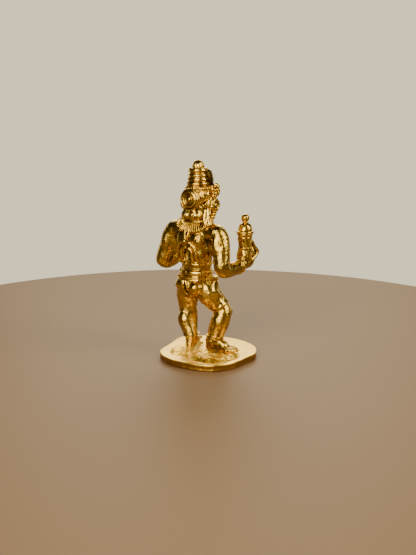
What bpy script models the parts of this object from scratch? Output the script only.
"""A standing crowned figure in gold-plated brass on a hand-cut plate, as the separate pieces that it is built up from.

The figure faces -Y, its left is +X and +Z is up. The origin is the middle of the base plate's underside.
Places are written in millimetres and turned to metres by mm(), so that they read as a maker would measure them.
"""

import math

import bmesh
import bpy
from mathutils import Vector

MM = 0.001
GAP = 0.3  # clearance between two neighbouring pieces
CORNER_GROWTH = 1.5  # how much further than that a sharp corner of a seat may go
SLIVER = 0.001  # edges shorter than this are welded after a cut
BASE_THICKNESS = 2.1
BASE_EDGE = 0.25  # rounding of the plate's rim
WAIST_Z = 25.2  # where the torso stands on the hips
BODY_X = 4.5  # the figure stands left of the plate's middle
HEAD_X = 3.9
CROWN_X, CROWN_Y = 3.8, -0.3
CROWN_Z = 49.2  # underside of the crown's headband
TOP_Z = 58.0
DISC_Z = 46.9  # middle of the wheel behind the head
VESSEL_X, VESSEL_Y = -6.6, -9.3
SIDES = 12  # round limbs
RING_STEPS = 20  # turned pieces


# ---------------------------------------------------------------- scene and materials

for old in list(bpy.data.objects):
    bpy.data.objects.remove(old)

figure = bpy.data.collections.new("standing_figure")
bpy.context.scene.collection.children.link(figure)
cutters = bpy.data.collections.new("cutters")
bpy.context.scene.collection.children.link(cutters)
whole = {}  # the simple shapes that each piece is joined from, before anything is cut from it


def metal(name, colour, roughness):
    """A plated metal with its own colour and polish."""
    material = bpy.data.materials.new(name)
    material.use_nodes = True
    shader = material.node_tree.nodes["Principled BSDF"]
    shader.inputs["Base Color"].default_value = (*colour, 1.0)
    shader.inputs["Metallic"].default_value = 1.0
    shader.inputs["Roughness"].default_value = roughness
    return material


polished = metal("polished_gold_plate", (0.83, 0.56, 0.17), 0.18)
ornament = metal("ornament_gold_plate", (0.86, 0.60, 0.20), 0.22)
satin = metal("satin_gold_plate", (0.85, 0.66, 0.33), 0.35)


def mm(x, y, z):
    return Vector((x, y, z)) * MM


# ---------------------------------------------------------------- ways of making a shape


def keep(name, mesh, material):
    """Puts a mesh in the figure as a node, and remembers its whole shape for the seats in its neighbours."""
    node = bpy.data.objects.new(name, mesh)
    figure.objects.link(node)
    mesh.materials.clear()
    mesh.materials.append(material)
    mesh.shade_smooth()
    mesh.set_sharp_from_angle(angle=math.radians(50))
    whole[name] = [mesh.copy()]
    bpy.context.view_layer.update()
    return node


def mesh_of(source, weld=1e-6):
    """The evaluated mesh of an object in world space, welded, and the object is removed."""
    bpy.context.view_layer.update()
    graph = bpy.context.evaluated_depsgraph_get()
    mesh = bpy.data.meshes.new_from_object(source.evaluated_get(graph))
    mesh.transform(source.matrix_world)
    shape = bmesh.new()
    shape.from_mesh(mesh)
    bmesh.ops.remove_doubles(shape, verts=shape.verts, dist=weld)
    bmesh.ops.recalc_face_normals(shape, faces=shape.faces)
    shape.to_mesh(mesh)
    shape.free()
    bpy.data.objects.remove(source)
    return mesh


def through(points, steps):
    """Points on a Catmull-Rom curve through the given ones; each holds any number of values."""
    last = len(points) - 1
    made = []
    for i in range(last):
        a, b, c, d = (points[min(max(k, 0), last)] for k in (i - 1, i, i + 1, i + 2))
        for step in range(steps):
            t = step / steps
            made.append(tuple(
                0.5 * (2 * q + (r - p) * t + (2 * p - 5 * q + 4 * r - s) * t * t
                       + (3 * q - p - 3 * r + s) * t ** 3)
                for p, q, r, s in zip(a, b, c, d)))
    made.append(tuple(points[last]))
    return made


def limb(name, points, material, steps=3, sides=SIDES):
    """A round limb: a curve through (x, y, z, radius) with that radius at each point."""
    curve = bpy.data.curves.new(name, "CURVE")
    curve.dimensions = "3D"
    curve.bevel_depth = MM
    curve.bevel_resolution = (sides - 4) // 2
    curve.use_fill_caps = True
    path = through(points, steps)
    spline = curve.splines.new("POLY")
    spline.points.add(len(path) - 1)
    for point, (x, y, z, radius) in zip(spline.points, path):
        point.co = (*mm(x, y, z), 1.0)
        point.radius = radius
    guide = bpy.data.objects.new(name, curve)
    cutters.objects.link(guide)
    return keep(name, mesh_of(guide), material)


def turned(name, profile, material, at, aim=(0, 0, 1), steps=RING_STEPS):
    """A turned piece: (radius, height) pairs run down its outer side, with the axis placed and aimed."""
    mesh = bpy.data.meshes.new(name)
    mesh.from_pydata([mm(r, 0, z) for r, z in profile], [(i, i + 1) for i in range(len(profile) - 1)], [])
    blank = bpy.data.objects.new(name, mesh)
    cutters.objects.link(blank)
    screw = blank.modifiers.new("turn", "SCREW")
    screw.steps = screw.render_steps = steps
    screw.use_merge_vertices = True
    screw.merge_threshold = 1e-6
    blank.rotation_euler = Vector(aim).to_track_quat("Z", "Y").to_euler()
    blank.location = mm(*at)
    return keep(name, mesh_of(blank), material)


def ring(name, at, radius, thickness, height, material, aim=(0, 0, 1), stretch=1.0):
    """A band with a rounded section: its mean radius, thickness and height, stretched along X."""
    count = 6
    section = [(radius + thickness / 2 * math.cos(math.tau * k / count),
                -height / 2 * math.sin(math.tau * k / count)) for k in range(count + 1)]
    node = turned(name, section, material, at, aim)
    widen(node, at[0], stretch)
    return node


def widen(node, middle_x, stretch):
    """Stretches a piece along X about its middle."""
    for mesh in (node.data, *whole[node.name]):
        for vertex in mesh.vertices:
            vertex.co.x = middle_x * MM + (vertex.co.x - middle_x * MM) * stretch


def loft(name, sections, material, sides=20):
    """A skin over level oval sections, each (x, y, z, half width, half depth), closed by a fan at both ends."""
    shape = bmesh.new()
    rings = []
    for x, y, z, wide, deep in sections:
        rings.append([shape.verts.new(mm(x + wide * math.cos(math.tau * k / sides),
                                         y + deep * math.sin(math.tau * k / sides), z))
                      for k in range(sides)])
    for low, high in zip(rings, rings[1:]):
        for k in range(sides):
            n = (k + 1) % sides
            shape.faces.new((low[k], low[n], high[n], high[k]))
    shape.faces.new(list(reversed(rings[0])))
    shape.faces.new(rings[-1])
    bmesh.ops.recalc_face_normals(shape, faces=shape.faces)
    mesh = bpy.data.meshes.new(name)
    shape.to_mesh(mesh)
    shape.free()
    return keep(name, mesh, material)


def egg(name, at, size, material, tilt=(0, 0, 0), rings=8, segments=12):
    """A stretched sphere with the given half sizes."""
    bpy.ops.mesh.primitive_uv_sphere_add(segments=segments, ring_count=rings, radius=1.0)
    ball = bpy.context.object
    ball.scale = Vector(size) * MM
    ball.rotation_euler = tilt
    ball.location = mm(*at)
    return keep(name, mesh_of(ball), material)


def plate(name, outline, thickness, material, at, tilt=(0, 0, 0), edge=0.1, smooth=True, curve_steps=5):
    """A flat piece from a closed outline in its own XY plane, with rounded edges."""
    curve = bpy.data.curves.new(name, "CURVE")
    curve.dimensions = "2D"
    curve.fill_mode = "BOTH"
    curve.extrude = (thickness / 2 - edge) * MM
    curve.bevel_depth = edge * MM
    curve.bevel_resolution = 1
    curve.offset = -edge * MM
    curve.resolution_u = curve_steps
    spline = curve.splines.new("BEZIER")
    spline.bezier_points.add(len(outline) - 1)
    for point, (x, y) in zip(spline.bezier_points, outline):
        point.co = mm(x, y, 0)
        point.handle_left_type = point.handle_right_type = "AUTO" if smooth else "VECTOR"
    spline.use_cyclic_u = True
    guide = bpy.data.objects.new(name, curve)
    cutters.objects.link(guide)
    guide.rotation_euler = tilt
    guide.location = mm(*at)
    return keep(name, mesh_of(guide), material)


# ---------------------------------------------------------------- fitting one piece to another


def grown(name, original, clearance):
    """A hidden copy of a simple shape, swollen along its normals, to cut its seat in a neighbour."""
    mesh = original.copy()
    shape = bmesh.new()
    shape.from_mesh(mesh)
    shape.normal_update()
    for vertex in shape.verts:
        vertex.co += vertex.normal * clearance * MM * min(vertex.calc_shell_factor(), CORNER_GROWTH)
    shape.to_mesh(mesh)
    shape.free()
    cutter = bpy.data.objects.new(name + "_seat", mesh)
    cutters.objects.link(cutter)
    cutter.hide_render = True
    cutter.display_type = "WIRE"
    return cutter


def combine(node, other, operation):
    """Runs one Boolean on a node and bakes it in."""
    cut = node.modifiers.new(operation, "BOOLEAN")
    cut.operation = operation
    cut.object = other
    bpy.context.view_layer.update()
    graph = bpy.context.evaluated_depsgraph_get()
    old = node.data
    node.data = bpy.data.meshes.new_from_object(node.evaluated_get(graph))
    node.modifiers.clear()
    bpy.data.meshes.remove(old)
    flatten(node.data)


def flatten(mesh):
    """Welds slivers and cuts every face into triangles, so that no face is bent."""
    shape = bmesh.new()
    shape.from_mesh(mesh)
    bmesh.ops.dissolve_degenerate(shape, edges=shape.edges, dist=SLIVER * MM)
    bmesh.ops.triangulate(shape, faces=shape.faces)
    shape.to_mesh(mesh)
    shape.free()


def seat(node, *neighbours, clearance=GAP):
    """Cuts a node back from its neighbours, with clearance, so that it sits on them."""
    for neighbour in neighbours:
        for original in whole[neighbour.name]:
            cutter = grown(neighbour.name, original, clearance)
            combine(node, cutter, "DIFFERENCE")
            bpy.data.objects.remove(cutter)
    largest_body(node)


def join(node, *others):
    """Makes several overlapping solids one body."""
    for other in others:
        combine(node, other, "UNION")
        whole[node.name] += whole.pop(other.name)
        bpy.data.objects.remove(other)


def largest_body(node):
    """Drops the crumbs that a cut leaves beside the piece itself."""
    shape = bmesh.new()
    shape.from_mesh(node.data)
    unseen = set(shape.verts)
    bodies = []
    while unseen:
        front = [unseen.pop()]
        body = set(front)
        while front:
            for edge in front.pop().link_edges:
                for vertex in edge.verts:
                    if vertex in unseen:
                        unseen.discard(vertex)
                        body.add(vertex)
                        front.append(vertex)
        bodies.append(body)
    bodies.sort(key=len)
    for body in bodies[:-1]:
        bmesh.ops.delete(shape, geom=list(body), context="VERTS")
    shape.to_mesh(node.data)
    shape.free()


# ---------------------------------------------------------------- base


def make_base():
    """The hand-cut plate: an uneven round with one straight side and a blunt corner."""
    outline = [(10.4, 9.8), (13.2, 1.5), (14.9, -5.2), (13.4, -9.2), (8.9, -12.2), (2.4, -14.1), (-4.4, -13.6),
               (-9.8, -10.6), (-13.2, -5.2), (-13.4, 1.2), (-13.0, 6.6), (-10.6, 11.0), (-5.0, 13.5), (3.4, 13.6)]
    return plate("base_plate", outline, BASE_THICKNESS, satin, (0, 0, BASE_THICKNESS / 2), edge=BASE_EDGE)


def make_mounds():
    """The rough lumps of metal that the feet stand on."""
    top = BASE_THICKNESS + GAP
    left = loft("left_mound", [(4.4, 3.4, top, 4.3, 8.0), (4.5, 3.0, top + 0.35, 3.9, 7.4),
                               (4.6, 2.4, top + 0.6, 2.9, 6.0)], ornament, sides=18)
    right = loft("right_mound", [(-5.9, 4.3, top, 5.0, 6.6), (-5.8, 4.0, top + 0.4, 4.5, 6.0),
                                 (-5.6, 3.2, top + 0.75, 3.4, 4.8)], ornament, sides=18)
    return left, right


# ---------------------------------------------------------------- legs


def make_foot(name, heel, toe, ankle):
    """A foot from heel to toe, low and broad in front and rising to the ankle."""
    heel, toe = Vector(heel), Vector(toe)
    along = (toe - heel).normalized()
    sole = heel.z
    sizes = [(-0.02, 0.75, 0.7), (0.05, 1.25, 1.3), (0.25, 1.45, 1.5), (0.5, 1.5, 1.2), (0.75, 1.75, 0.85),
             (0.93, 1.6, 0.6), (1.0, 0.9, 0.4)]
    side = along.cross(Vector((0, 0, 1)))
    shape = bmesh.new()
    rings = []
    sides = 12
    for share, wide, high in sizes:
        middle = heel.lerp(toe, share)
        row = []
        for k in range(sides):
            turn = math.tau * k / sides
            lift = high + high * math.sin(turn) if math.sin(turn) > -0.6 else high * 0.4
            place = middle + side * wide * math.cos(turn)
            row.append(shape.verts.new(mm(place.x, place.y, sole + lift)))
        rings.append(row)
    for low, far in zip(rings, rings[1:]):
        for k in range(sides):
            n = (k + 1) % sides
            shape.faces.new((low[k], low[n], far[n], far[k]))
    shape.faces.new(rings[0])
    shape.faces.new(list(reversed(rings[-1])))
    bmesh.ops.recalc_face_normals(shape, faces=shape.faces)
    mesh = bpy.data.meshes.new(name)
    shape.to_mesh(mesh)
    shape.free()
    foot = keep(name, mesh, polished)
    shin = limb(name + "_ankle", [(ankle[0], ankle[1], sole + 0.6, 1.75), (*ankle, 1.7)], polished, steps=1)
    join(foot, shin)
    return foot


def make_legs():
    """The straight left leg and the bent right leg, each from the hem of the cloth to the ankle."""
    left = limb("left_leg", [(7.9, -0.5, 14.6, 2.7), (7.8, -0.6, 13.0, 2.75), (7.5, 0.0, 10.6, 2.65),
                             (6.6, 0.5, 7.8, 2.2), (5.9, 0.6, 5.8, 1.9)], polished)
    right = limb("right_leg", [(-1.5, -3.2, 16.1, 2.5), (-2.5, -3.9, 13.9, 2.65), (-2.6, -3.1, 11.4, 2.8),
                               (-1.8, -2.5, 8.6, 2.7), (-1.1, -1.9, 5.9, 2.4)], polished)
    return left, right


# ---------------------------------------------------------------- hips and waist


def make_loincloth():
    """The close-fitting cloth: hips and the tops of both thighs in one piece."""
    hips = loft("loincloth", [(4.9, -0.4, 17.8, 3.2, 2.8), (4.9, -0.3, 19.0, 5.2, 4.4), (4.9, -0.2, 21.2, 5.7, 4.9),
                              (4.8, -0.2, 23.2, 5.4, 4.6), (4.7, -0.3, WAIST_Z - GAP, 4.8, 4.2)], ornament)
    left = limb("left_cuff", [(7.4, -0.1, 21.0, 3.2), (7.7, -0.3, 18.0, 3.4), (7.9, -0.5, 14.2, 3.05)], ornament)
    right = limb("right_cuff", [(2.3, -0.6, 21.0, 3.2), (0.6, -1.7, 18.2, 3.4), (-1.9, -3.4, 14.8, 3.0)], ornament)
    join(hips, left, right)
    return hips


def make_belts(hips, torso):
    """Two bands round the waist, and a third round the belly."""
    waist = ring("waist_belt", (4.75, -0.3, 25.2), 4.45, 1.5, 1.9, ornament, stretch=1.12)
    seat(waist, hips, torso)
    hip = ring("hip_belt", (4.85, -0.2, 23.4), 4.85, 1.5, 1.3, ornament, stretch=1.14)
    seat(hip, hips, waist)
    belly = ring("belly_band", (4.3, -0.3, 28.2), 4.35, 1.4, 1.3, ornament, stretch=1.1)
    seat(belly, torso)
    return waist, hip, belly


def make_flaps(hips, hip_belt):
    """The tucked end of the cloth behind, and the pleated fall in front."""
    back = egg("back_flap", (4.8, 4.8, 21.3), (1.4, 0.9, 1.7), ornament)
    seat(back, hips, hip_belt)
    front = loft("front_flap", [(4.9, -4.9, 17.0, 1.4, 0.6), (4.9, -5.2, 19.0, 1.4, 0.9), (4.9, -5.3, 22.2, 1.1, 0.7)],
                 ornament, sides=10)
    seat(front, hips, hip_belt)
    return back, front


# ---------------------------------------------------------------- torso and what lies on it


def make_torso():
    sections = [(4.6, -0.3, WAIST_Z, 4.5, 4.0), (4.4, -0.3, 26.8, 4.4, 3.95), (4.3, -0.3, 29.0, 4.7, 4.1),
                (4.4, -0.2, 32.0, 5.3, 4.3), (4.5, -0.1, 34.8, 6.0, 4.35), (4.5, 0.0, 37.0, 6.6, 3.9),
                (4.5, 0.0, 38.6, 6.0, 3.2), (4.4, 0.0, 39.5, 4.2, 2.6)]
    return loft("torso", through(sections, 2), polished)


def make_cords(torso, collar, belly_band):
    """The strap down the spine and the two arches of cord that it splits into."""
    strap = limb("back_strap", [(4.6, 4.3, 37.9, 0.75), (4.65, 4.5, 36.4, 0.65), (4.7, 4.5, 35.2, 0.6)],
                 ornament, sides=8)
    outer = arch("outer_cord_arch", 3.0, 34.8)
    inner = arch("inner_cord_arch", 1.6, 33.0)
    seat(strap, torso, collar)
    seat(outer, torso, collar, belly_band, strap)
    seat(inner, torso, belly_band)
    return strap, outer, inner


def arch(name, half_width, top):
    """A round cord bent into a tall arch on the back, its feet on the belly band."""
    foot = 28.9
    rise = top - foot
    points = []
    for k in range(9):
        turn = math.pi * k / 8
        x = 4.6 + half_width * math.cos(turn)
        z = foot + rise * math.sin(turn) ** 0.7
        points.append((x, back_of_torso(x, z) + 0.4, z, 0.6))
    return limb(name, points, ornament, steps=2, sides=8)


def back_of_torso(x, z):
    """Where the surface of the back lies at a place across it and a height."""
    wide = 4.7 + 0.22 * (z - 29.0)
    deep = 4.3
    across = min(abs(x - 4.45) / wide, 0.95)
    return -0.2 + deep * math.sqrt(1 - across * across)


# ---------------------------------------------------------------- neck, head and hair


def make_head():
    """The bare head, with its chin to the front."""
    sections = [(3.9, -2.6, 41.7, 0.9, 1.0), (3.9, -1.9, 42.4, 2.4, 2.4), (3.9, -1.3, 43.6, 3.3, 3.3),
                (3.9, -0.9, 45.2, 3.8, 3.9), (3.9, -0.7, 47.0, 4.0, 4.1), (3.9, -0.5, 48.6, 3.6, 3.8),
                (3.9, -0.4, 49.9, 2.4, 2.6)]
    head = loft("head", sections, polished, sides=18)
    nose = egg("nose", (3.9, -4.85, 45.2), (0.5, 0.55, 0.95), polished, rings=6, segments=8)
    join(head, nose)
    return head


def make_neck(torso, head):
    neck = limb("neck", [(4.3, -0.1, 38.6, 2.7), (4.1, -0.3, 40.4, 2.3), (4.0, -0.6, 42.4, 2.2),
                         (3.9, -0.8, 44.0, 2.1)], polished, steps=2)
    seat(neck, torso, head)
    return neck


def make_hair(head, neck):
    """The locks that lie on the nape, below the wheel."""
    hair = loft("nape_hair", [(3.7, 2.0, 40.2, 3.0, 1.5), (3.7, 2.4, 41.6, 3.3, 1.7), (3.8, 2.5, 43.6, 3.2, 1.7),
                              (3.8, 2.6, 45.4, 2.8, 1.5)], ornament, sides=14)
    seat(hair, head, neck)
    return hair


def make_ears(head, hair):
    """Ears with long lobes, and a round stud with a drop hanging from each."""
    made = []
    for name, side in (("left", 1), ("right", -1)):
        ear = egg(f"{name}_ear", (HEAD_X + side * 4.3, -0.5, 45.3), (1.0, 1.0, 1.9), polished, rings=6, segments=10)
        seat(ear, head, hair)
        out = HEAD_X + side * 5.9
        stud = turned(f"{name}_earring", [(0.0, 0.6), (1.1, 0.6), (1.9, 0.2), (1.9, -0.2), (1.1, -0.6), (0.0, -0.6)],
                      ornament, (out, -1.3, 44.9), aim=(side, 0, 0), steps=14)
        drop = limb(f"{name}_drop", [(out, -1.2, 44.0, 0.6), (out - side * 0.1, -1.0, 42.4, 0.8),
                                     (out - side * 0.3, -0.8, 41.0, 0.7)], ornament, sides=8)
        join(stud, drop)
        seat(stud, ear, head, hair)
        made += [ear, stud]
    return made


# ---------------------------------------------------------------- crown and wheel


def make_crown(head):
    """The headband, the tiered cone and its bud, all turned, with a leaf in front and a flower at each side."""
    band = turned("crown_band", [(0.0, 1.5), (2.9, 1.5), (3.3, 1.2), (3.7, 0.5), (3.8, 0.0), (3.6, -0.7),
                                 (2.0, -0.9), (0.0, -0.9)], ornament, (CROWN_X, CROWN_Y, CROWN_Z))
    seat(band, head)
    tiers = [(0.0, 0.0)]
    floor = CROWN_Z + 1.5 + GAP
    roof = 55.1
    count = 4
    step = (roof - floor) / count
    for k in range(count):
        low, radius = k * step, 2.95 - 0.22 * k
        tiers += [(radius, low + 0.1 * step), (radius + 0.1, low + 0.5 * step), (radius, low + 0.85 * step),
                  (radius - 0.3, low + step)]
    tiers.append((0.0, roof - floor))
    cone = turned("crown_cone", list(reversed(tiers)), ornament, (CROWN_X, CROWN_Y, floor))
    bud_height = TOP_Z - roof - GAP
    bud = turned("crown_bud", [(0.0, bud_height), (0.5, bud_height - 0.2), (1.25, 0.55 * bud_height),
                               (1.6, 0.3 * bud_height), (1.45, 0.1 * bud_height), (1.2, 0.0), (0.0, 0.0)],
                 ornament, (CROWN_X, CROWN_Y, roof + GAP), steps=16)
    return band, cone, bud


def make_crown_ornaments(band, cone):
    """The tall leaf in front of the cone and the flower above each ear."""
    leaf = plate("crown_front_leaf", [(0.0, 3.2), (1.3, 1.4), (1.7, -0.6), (1.0, -2.4), (-1.0, -2.4), (-1.7, -0.6),
                                      (-1.3, 1.4)], 0.9, ornament, (CROWN_X, CROWN_Y - 3.9, 52.4),
                 tilt=(math.radians(80), 0, 0), curve_steps=3)
    made = [leaf]
    for name, side in (("left", 1), ("right", -1)):
        wing = plate(f"crown_{name}_leaf", [(0.0, 2.7), (1.0, 1.2), (1.3, -0.4), (0.8, -1.8), (-0.8, -1.8),
                                            (-1.3, -0.4), (-1.0, 1.2)], 0.9, ornament,
                     (CROWN_X + side * 3.5, CROWN_Y - 1.1, 52.8),
                     tilt=(math.radians(82), 0, side * math.radians(65)), curve_steps=3)
        flower = turned(f"crown_{name}_flower", [(0.0, 0.9), (0.6, 0.8), (0.9, 0.3), (1.5, 0.2), (1.5, -0.2),
                                                 (0.8, -0.5), (0.6, -1.6), (0.0, -1.6)],
                        ornament, (CROWN_X + side * 4.8, CROWN_Y - 2.2, 50.1),
                        aim=(side * 4.8, -2.2, 0.9), steps=14)
        seat(wing, band, cone, leaf)
        seat(flower, band, cone, wing)
        made += [wing, flower]
    seat(leaf, band, cone)
    return made


def make_wheel(head, band, hair):
    """The ribbed wheel that stands off the back of the head, with the boss at its middle."""
    profile = [(0.8, 1.1), (1.3, 1.2), (1.7, 0.9), (2.1, 1.2), (2.7, 1.1), (3.1, 0.7), (3.1, -0.5), (2.7, -0.9),
               (0.8, -0.9)]
    wheel = turned("head_wheel", profile + [profile[0]], ornament, (CROWN_X, 4.7, DISC_Z), aim=(0, 1, 0))
    boss = turned("wheel_boss", [(0.0, 1.5), (0.3, 1.4), (0.5, 1.0), (0.5, -1.2), (0.0, -1.2)], ornament,
                  (CROWN_X, 4.7, DISC_Z), aim=(0, 1, 0), steps=12)
    for piece in (wheel, boss):
        seat(piece, head, band, hair)
    return wheel, boss


# ---------------------------------------------------------------- collar


def make_collar(torso, neck, head, arms):
    """The flared collar of pleats and the round torque above it."""
    collar = turned("collar", [(2.6, 1.2), (3.2, 1.3), (4.4, 0.5), (5.3, -0.6), (5.2, -1.0), (4.0, -1.4), (2.6, -1.4),
                               (2.6, 1.2)], ornament, (BODY_X, 0.1, 39.4))
    widen(collar, BODY_X, 1.12)
    seat(collar, torso, neck, head, *arms)
    torque = ring("neck_ring", (4.15, -0.2, 41.3), 2.95, 0.9, 0.8, ornament, aim=(0, 0.1, 1))
    seat(torque, neck, head, collar)
    return collar, torque


# ---------------------------------------------------------------- arms, hands and the vessel


def make_arms(torso):
    """Each arm from its shoulder to the wrist, bent square at the elbow."""
    left = limb("left_arm", [(9.6, 0.0, 38.0, 1.6), (12.9, 0.1, 36.9, 2.7), (14.5, 0.5, 34.0, 2.5),
                             (15.5, 0.9, 30.5, 2.4), (16.0, 1.0, 27.7, 2.2), (15.6, -0.6, 26.9, 2.1),
                             (14.6, -3.6, 28.0, 1.9), (13.7, -6.6, 29.0, 1.5)], polished)
    right = limb("right_arm", [(-0.6, 0.0, 38.0, 1.6), (-3.9, 0.1, 36.8, 2.7), (-5.0, 0.5, 34.0, 2.55),
                               (-5.6, 1.1, 30.6, 2.5), (-6.0, 1.4, 27.6, 2.3), (-6.2, 0.0, 26.5, 2.2),
                               (-6.4, -3.2, 26.6, 2.05), (-6.7, -6.2, 26.9, 1.7)], polished)
    for arm in (left, right):
        seat(arm, torso)
    return left, right


def make_left_hand(arm):
    """The raised open hand at the left, palm to the front."""
    bracelet = ring("left_bracelet", (13.85, -6.1, 28.85), 1.75, 0.9, 0.9, ornament,
                    aim=(-1.1, -3.0, 1.2))
    seat(bracelet, arm)
    palm = loft("left_hand", [(13.3, -8.4, 28.6, 0.9, 0.5), (13.2, -8.4, 29.4, 1.5, 0.85), (13.1, -8.5, 31.2, 1.6, 0.8),
                              (13.0, -8.6, 33.6, 1.3, 0.55), (12.9, -8.7, 34.8, 0.7, 0.35)], polished, sides=12)
    wrist = limb("left_wrist", [(13.55, -6.9, 29.2, 1.25), (13.2, -8.3, 29.8, 1.2)], polished, steps=1, sides=10)
    join(palm, wrist)
    seat(palm, arm, bracelet)
    return bracelet, palm


def make_right_hand(arm, vessel):
    """The right hand, held up with the vessel standing in its palm and the fingers spread forward."""
    bracelet = ring("right_bracelet", (-6.65, -5.9, 26.85), 1.9, 0.9, 0.9, ornament,
                    aim=(-0.3, -3.0, 0.4))
    seat(bracelet, arm)
    palm = limb("right_hand", [(-6.7, -6.7, 27.0, 1.4), (-6.75, -8.2, 27.3, 1.7), (-6.9, -10.4, 28.2, 1.5),
                               (-7.0, -12.7, 30.4, 0.9)], polished, sides=12)
    seat(palm, arm, bracelet, vessel)
    return bracelet, palm


def make_vessel():
    """The lidded vessel: body, domed lid with a spread rim, and the ball on top."""
    foot = 28.2
    rim = 36.3
    body = turned("vessel", [(0.0, rim - foot), (1.6, rim - foot), (1.75, 6.6), (1.9, 4.5), (1.95, 2.4), (1.6, 0.6),
                             (0.9, 0.0), (0.0, 0.0)], ornament, (VESSEL_X, VESSEL_Y, foot), steps=16)
    lid = turned("vessel_lid", [(0.0, 2.9), (0.6, 2.9), (1.5, 2.1), (1.9, 1.2), (2.05, 0.6), (2.55, 0.2), (2.5, 0.0),
                                (0.0, 0.0)], ornament, (VESSEL_X, VESSEL_Y, rim + GAP), steps=16)
    ball = egg("lid_ball", (VESSEL_X, VESSEL_Y, rim + 2 * GAP + 2.9 + 1.15), (1.15, 1.15, 1.15), ornament)
    return body, lid, ball


# ---------------------------------------------------------------- the whole figure


def build():
    make_base()
    left_mound, right_mound = make_mounds()
    left_leg, right_leg = make_legs()
    left_foot = make_foot("left_foot", (5.0, 2.4, 3.0), (7.7, -5.2, 3.0), (5.6, 0.8, 5.2))
    right_foot = make_foot("right_foot", (0.6, -0.7, 3.0), (-10.2, 0.2, 3.0), (-1.2, -1.6, 5.2))
    for mound in (left_mound, right_mound):
        seat(mound, left_foot, right_foot)
    seat(right_mound, left_mound)
    left_anklet = ring("left_anklet", (5.9, 0.65, 5.9), 2.1, 1.0, 1.0, ornament)
    right_anklet = ring("right_anklet", (-1.15, -1.9, 6.0), 2.35, 1.0, 1.0, ornament)
    seat(left_foot, left_leg)
    seat(right_foot, right_leg)
    seat(left_anklet, left_leg, left_foot)
    seat(right_anklet, right_leg, right_foot)

    hips = make_loincloth()
    for leg in (left_leg, right_leg):
        seat(leg, hips)
    torso = make_torso()
    waist_belt, hip_belt, belly_band = make_belts(hips, torso)
    make_flaps(hips, hip_belt)

    arms = make_arms(torso)
    head = make_head()
    neck = make_neck(torso, head)
    collar, torque = make_collar(torso, neck, head, arms)
    hair = make_hair(head, neck)
    seat(hair, collar, torque)
    make_cords(torso, collar, belly_band)
    band, cone, bud = make_crown(head)
    ears = make_ears(head, hair)
    make_crown_ornaments(band, cone)
    make_wheel(head, band, hair)
    for earring in (ears[1], ears[3]):
        seat(earring, collar, torso, *arms)

    vessel, lid, ball = make_vessel()
    make_left_hand(arms[0])
    make_right_hand(arms[1], vessel)


build()
